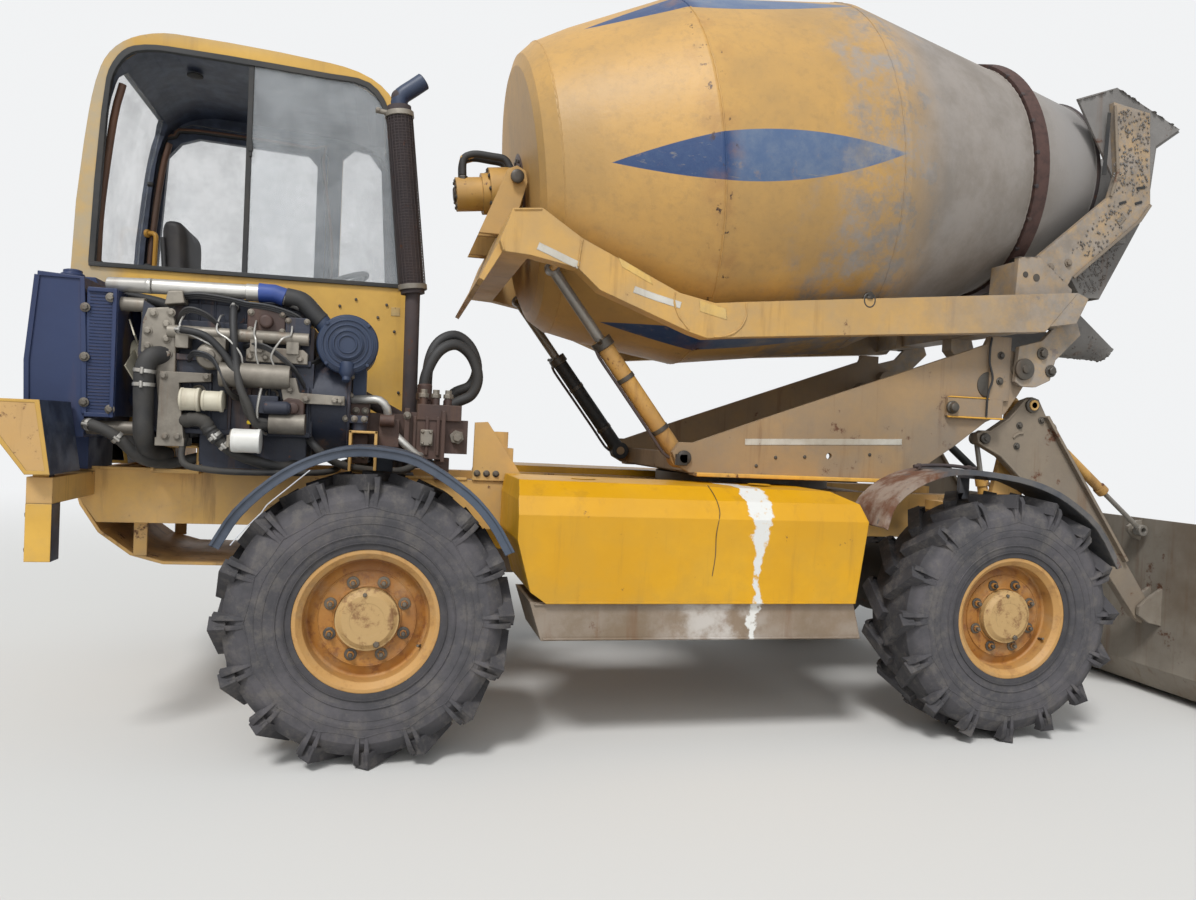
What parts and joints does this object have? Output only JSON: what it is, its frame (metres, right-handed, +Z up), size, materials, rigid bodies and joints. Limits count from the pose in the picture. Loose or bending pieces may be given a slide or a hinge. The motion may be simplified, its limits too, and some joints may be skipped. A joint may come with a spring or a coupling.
{
  "type": "concrete mixer truck",
  "caption": "Self-loading concrete mixer truck with side cab, open engine, tilting and slewing drum, feed hopper, chute and loading shovel.",
  "frame": {"origin": "centre of the overall box, on the ground", "axes": "+Z up, +X towards the drum's mouth and the shovel, -Y is the side with the open engine"},
  "size_m": [5.8, 2.159, 3.3737],
  "materials": {
    "yellow_paint": "satin",
    "black_plastic": "matt",
    "tyre_rubber": "matt",
    "bare_steel": "satin",
    "cast": "matt",
    "cement_grey": "matt",
    "glass": "gloss",
    "rubber": "matt",
    "rust_brown": "matt",
    "navy_paint": "satin",
    "cream_plastic": "satin"
  },
  "bodies": {
    "chassis": {"chassis_frame": "yellow_paint", "belly_guard": "yellow_paint", "rear_bumper": "yellow_paint", "engine_block": "cast", "engine_fittings": "bare_steel", "radiator_pack": "navy_paint", "intake_pipe": "bare_steel", "air_filter": "black_plastic", "exhaust_stack": "rust_brown", "hydraulic_pumps": "rust_brown", "hydraulic_hoses": "rubber", "rear_fenders": "black_plastic", "tank_near": "yellow_paint", "tank_far": "yellow_paint", "tank_skirts": "cement_grey", "cab_shell": "yellow_paint", "cab_window_frame": "rubber", "cab_panes": "glass", "cab_seat": "black_plastic", "steering_column": "black_plastic", "slew_base": "cast", "rear_axle": "cast", "front_axle": "cast", "front_fenders": "black_plastic"},
    "fan": {"cooling_fan": "cream_plastic"},
    "door": {"cab_door": "yellow_paint", "door_pane": "glass"},
    "carrier": {"sub_frame": "yellow_paint"},
    "tilter": {"tilt_frame": "yellow_paint", "drum_drive": "yellow_paint", "drum_rollers": "bare_steel", "feed_hopper": "cement_grey", "discharge_funnel": "cement_grey"},
    "mixer": {"drum": "yellow_paint"},
    "chute_body": {"chute": "cement_grey"},
    "tilt_barrel_pair": {"tilt_barrels": "yellow_paint"},
    "tilt_rod_pair": {"tilt_rods": "bare_steel"},
    "arms": {"loader_arms": "yellow_paint"},
    "lift_barrel_pair": {"lift_barrels": "yellow_paint"},
    "lift_rod_pair": {"lift_rods": "bare_steel"},
    "bucket": {"shovel": "cement_grey"},
    "shovel_barrel_pair": {"shovel_barrels": "yellow_paint"},
    "shovel_rod_pair": {"shovel_rods": "bare_steel"},
    "near_knuckle": {"knuckle_near": "cast"},
    "far_knuckle": {"knuckle_far": "cast"},
    "rear_near_wheel": {"rim_rear_near": "yellow_paint", "tyre_rear_near": "tyre_rubber"},
    "rear_far_wheel": {"rim_rear_far": "yellow_paint", "tyre_rear_far": "tyre_rubber"},
    "front_near_wheel": {"rim_front_near": "yellow_paint", "tyre_front_near": "tyre_rubber"},
    "front_far_wheel": {"rim_front_far": "yellow_paint", "tyre_front_far": "tyre_rubber"}
  },
  "joints": [
    {"name": "rear_near_wheel_spin", "type": "hinge", "parent": "chassis", "child": "rear_near_wheel", "pos_m": [-1.598, -0.908, 0.52], "axis": [0, 1, 0], "continuous": true},
    {"name": "rear_far_wheel_spin", "type": "hinge", "parent": "chassis", "child": "rear_far_wheel", "pos_m": [-1.598, 0.908, 0.52], "axis": [0, 1, 0], "continuous": true},
    {"name": "steer_near", "type": "hinge", "parent": "chassis", "child": "near_knuckle", "pos_m": [0.998, -0.908, 0.52], "axis": [0, 0, 1], "range_deg": [-20, 20]},
    {"name": "steer_far", "type": "hinge", "parent": "chassis", "child": "far_knuckle", "pos_m": [0.998, 0.908, 0.52], "axis": [0, 0, 1], "range_deg": [-20, 20]},
    {"name": "front_near_wheel_spin", "type": "hinge", "parent": "near_knuckle", "child": "front_near_wheel", "pos_m": [0.998, -0.908, 0.52], "axis": [0, 1, 0], "continuous": true},
    {"name": "front_far_wheel_spin", "type": "hinge", "parent": "far_knuckle", "child": "front_far_wheel", "pos_m": [0.998, 0.908, 0.52], "axis": [0, 1, 0], "continuous": true},
    {"name": "fan_spin", "type": "hinge", "parent": "chassis", "child": "fan", "pos_m": [-2.528, -0.445, 1.44], "axis": [1, 0, 0], "continuous": true},
    {"name": "door_swing", "type": "hinge", "parent": "chassis", "child": "door", "pos_m": [-2.872, 1.014, 1.94], "axis": [0, 0, 1], "range_deg": [0, 75]},
    {"name": "drum_slew", "type": "hinge", "parent": "chassis", "child": "carrier", "pos_m": [0.2, 0, 1.04], "axis": [0, 0, 1], "range_deg": [-90, 90]},
    {"name": "drum_tilt", "type": "hinge", "parent": "carrier", "child": "tilter", "pos_m": [1.327, 0, 1.6], "axis": [0, 1, 0], "range_deg": [-3, 9]},
    {"name": "drum_spin", "type": "hinge", "parent": "tilter", "child": "mixer", "pos_m": [-0.971, 0, 2.34], "axis": [0.9924, 0, 0.1227], "continuous": true},
    {"name": "chute_swing", "type": "hinge", "parent": "tilter", "child": "chute_body", "pos_m": [1.83, 0, 1.99], "axis": [0, 0, 1], "range_deg": [-45, 45]},
    {"name": "tilt_barrel_swing", "type": "hinge", "parent": "carrier", "child": "tilt_barrel_pair", "pos_m": [-0.308, 0, 1.123], "axis": [0, 1, 0], "range_deg": [-4.5, 13.45]},
    {"name": "tilt_rod_slide", "type": "slide", "parent": "tilt_barrel_pair", "child": "tilt_rod_pair", "axis": [-0.6099, 0, 0.7925], "range_m": [-0.0869, 0.2596]},
    {"name": "arm_lift", "type": "hinge", "parent": "chassis", "child": "arms", "pos_m": [1.462, 0, 1.44], "axis": [0, -1, 0], "range_deg": [0, 40]},
    {"name": "lift_barrel_swing", "type": "hinge", "parent": "chassis", "child": "lift_barrel_pair", "pos_m": [1.325, 0, 0.727], "axis": [0, -1, 0], "range_deg": [-17.49, 0.03]},
    {"name": "lift_rod_slide", "type": "slide", "parent": "lift_barrel_pair", "child": "lift_rod_pair", "axis": [-0.2058, 0, 0.9786], "range_m": [-0.1462, 0.0005]},
    {"name": "shovel_tip", "type": "hinge", "parent": "arms", "child": "bucket", "pos_m": [2.17, 0, 0.44], "axis": [0, -1, 0], "range_deg": [0, 28]},
    {"name": "shovel_barrel_swing", "type": "hinge", "parent": "arms", "child": "shovel_barrel_pair", "pos_m": [1.6, 0, 1.325], "axis": [0, -1, 0], "range_deg": [-11.54, 0.03]},
    {"name": "shovel_rod_slide", "type": "slide", "parent": "shovel_barrel_pair", "child": "shovel_rod_pair", "axis": [0.7857, 0, -0.6186], "range_m": [-0.1331, 0.0005]}
  ],
  "couplings": [
    {"joint": "steer_far", "follows": "steer_near", "ratio": 1},
    {"joint": "tilt_barrel_swing", "follows": "drum_tilt", "ratio": 1.4621},
    {"joint": "tilt_rod_slide", "follows": "drum_tilt", "m_per_rad": 1.6173},
    {"joint": "lift_barrel_swing", "follows": "arm_lift", "ratio": -0.42795},
    {"joint": "lift_rod_slide", "follows": "arm_lift", "m_per_rad": -0.20459},
    {"joint": "shovel_barrel_swing", "follows": "shovel_tip", "ratio": -0.40316},
    {"joint": "shovel_rod_slide", "follows": "shovel_tip", "m_per_rad": -0.26605}
  ]
}
